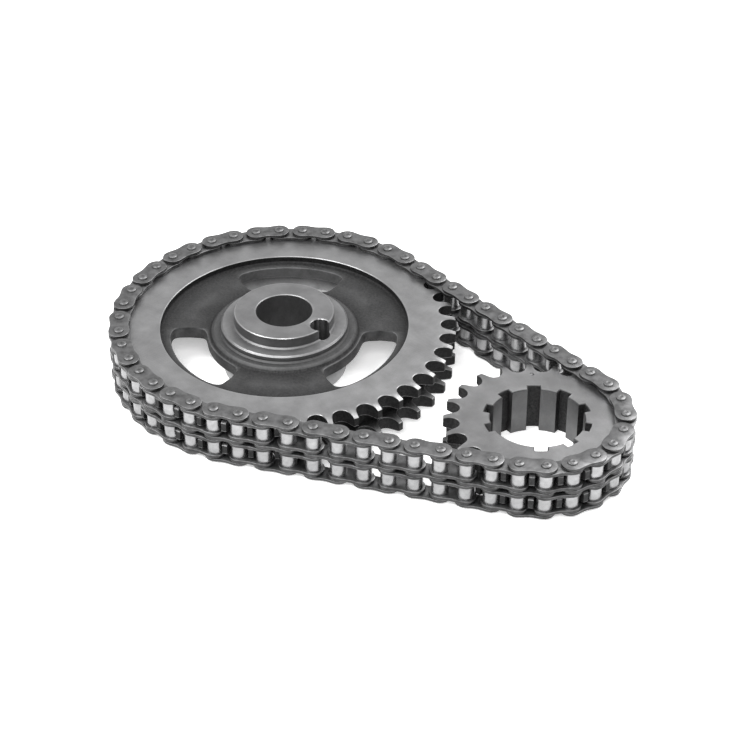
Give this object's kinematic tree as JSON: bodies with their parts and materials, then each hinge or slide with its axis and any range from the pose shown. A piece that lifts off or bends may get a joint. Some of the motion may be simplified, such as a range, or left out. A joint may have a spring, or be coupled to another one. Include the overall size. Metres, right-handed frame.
{
  "type": "roller chain",
  "caption": "Double-row roller chain run in a closed loop round a large recessed sprocket and a small keyed one, opened at one pivot so it can move by a tooth.",
  "frame": {"origin": "bottom centre of the bounding box, on the plane the set lies on", "axes": "+X from the large sprocket's shaft to the small one's, +Z along both shafts towards the large sprocket's hub face, +Y to the rear strand"},
  "size_m": [0.2158, 0.1356, 0.0253],
  "materials": {
    "plate_steel": "dark oiled link plates, tumbled edges",
    "roller_steel": "bright ground rollers",
    "pin_steel": "ground and riveted pins",
    "cast_iron": "dark cast web with machined rim and hub",
    "billet_steel": "machined from bar, broached keyways"
  },
  "bodies": {
    "front_strand": {"bushing_lower_left": "pin_steel", "bushing_lower_right": "pin_steel", "bushing_upper_left": "pin_steel", "bushing_upper_right": "pin_steel", "front_inner_link_1_lower": "roller_steel", "front_inner_link_1_upper": "roller_steel", "front_inner_link_2_lower": "roller_steel", "front_inner_link_2_upper": "roller_steel", "front_inner_link_3_lower": "roller_steel", "front_inner_link_3_upper": "roller_steel", "front_inner_link_4_lower": "roller_steel", "front_inner_link_4_upper": "roller_steel", "front_inner_link_5_lower": "roller_steel", "front_inner_link_5_upper": "roller_steel", "front_outer_link_1": "plate_steel", "front_outer_link_2": "plate_steel", "front_outer_link_3": "plate_steel", "front_outer_link_4": "plate_steel", "inner_plate_lower_bottom": "plate_steel", "inner_plate_lower_top": "plate_steel", "inner_plate_upper_bottom": "plate_steel", "inner_plate_upper_top": "plate_steel", "middle_plate": "plate_steel", "outer_plate_lower": "plate_steel", "outer_plate_upper": "plate_steel", "pin_left": "pin_steel", "pin_right": "pin_steel"},
    "cam_group": {"cam_link_pair_01": "plate_steel", "cam_link_pair_02": "plate_steel", "cam_link_pair_03": "plate_steel", "cam_link_pair_04": "plate_steel", "cam_link_pair_05": "plate_steel", "cam_link_pair_06": "plate_steel", "cam_link_pair_07": "plate_steel", "cam_link_pair_08": "plate_steel", "cam_link_pair_09": "plate_steel", "cam_link_pair_10": "plate_steel", "cam_link_pair_11": "plate_steel", "cam_link_pair_12": "plate_steel", "cam_outer_link": "plate_steel", "cam_sprocket": "cast_iron"},
    "crank_group": {"crank_link_pair_01": "plate_steel", "crank_link_pair_02": "plate_steel", "crank_link_pair_03": "plate_steel", "crank_link_pair_04": "plate_steel", "crank_outer_link": "plate_steel", "crank_sprocket": "billet_steel"},
    "back_strand": {"back_inner_link_lower": "roller_steel", "back_inner_link_upper": "roller_steel", "back_link_pair_01": "plate_steel", "back_link_pair_02": "plate_steel", "back_link_pair_03": "plate_steel", "back_link_pair_04": "plate_steel", "back_link_pair_05": "plate_steel"},
    "roller_lower_left_body": {"roller_lower_left": "roller_steel"},
    "roller_lower_right_body": {"roller_lower_right": "roller_steel"},
    "roller_upper_left_body": {"roller_upper_left": "roller_steel"},
    "roller_upper_right_body": {"roller_upper_right": "roller_steel"}
  },
  "joints": [
    {"name": "cam_turn", "type": "hinge", "parent": "front_strand", "child": "cam_group", "pos_m": [-0.01894, -0.0601, 0.01138], "axis": [0, 0, 1], "range_deg": [-6.96, 2]},
    {"name": "crank_turn", "type": "hinge", "parent": "front_strand", "child": "crank_group", "pos_m": [0.08156, -0.03048, 0.01138], "axis": [0, 0, 1], "range_deg": [-13.59, 3.91]},
    {"name": "back_strand_turn", "type": "hinge", "parent": "cam_group", "child": "back_strand", "pos_m": [-0.02383, 0.0616, 0.01138], "axis": [0, 0, 1], "range_deg": [-2, 6.95]},
    {"name": "roller_upper_left_spin", "type": "hinge", "parent": "front_strand", "child": "roller_upper_left_body", "pos_m": [0.01761, -0.04933, 0.0165], "axis": [0, 0, 1], "continuous": true},
    {"name": "roller_upper_right_spin", "type": "hinge", "parent": "front_strand", "child": "roller_upper_right_body", "pos_m": [0.02674, -0.04664, 0.0165], "axis": [0, 0, 1], "continuous": true},
    {"name": "roller_lower_left_spin", "type": "hinge", "parent": "front_strand", "child": "roller_lower_left_body", "pos_m": [0.01761, -0.04933, 0.00626], "axis": [0, 0, 1], "continuous": true},
    {"name": "roller_lower_right_spin", "type": "hinge", "parent": "front_strand", "child": "roller_lower_right_body", "pos_m": [0.02674, -0.04664, 0.00626], "axis": [0, 0, 1], "continuous": true}
  ],
  "couplings": [
    {"joint": "crank_turn", "follows": "cam_turn", "ratio": 1.952},
    {"joint": "back_strand_turn", "follows": "cam_turn", "ratio": -0.9985}
  ]
}
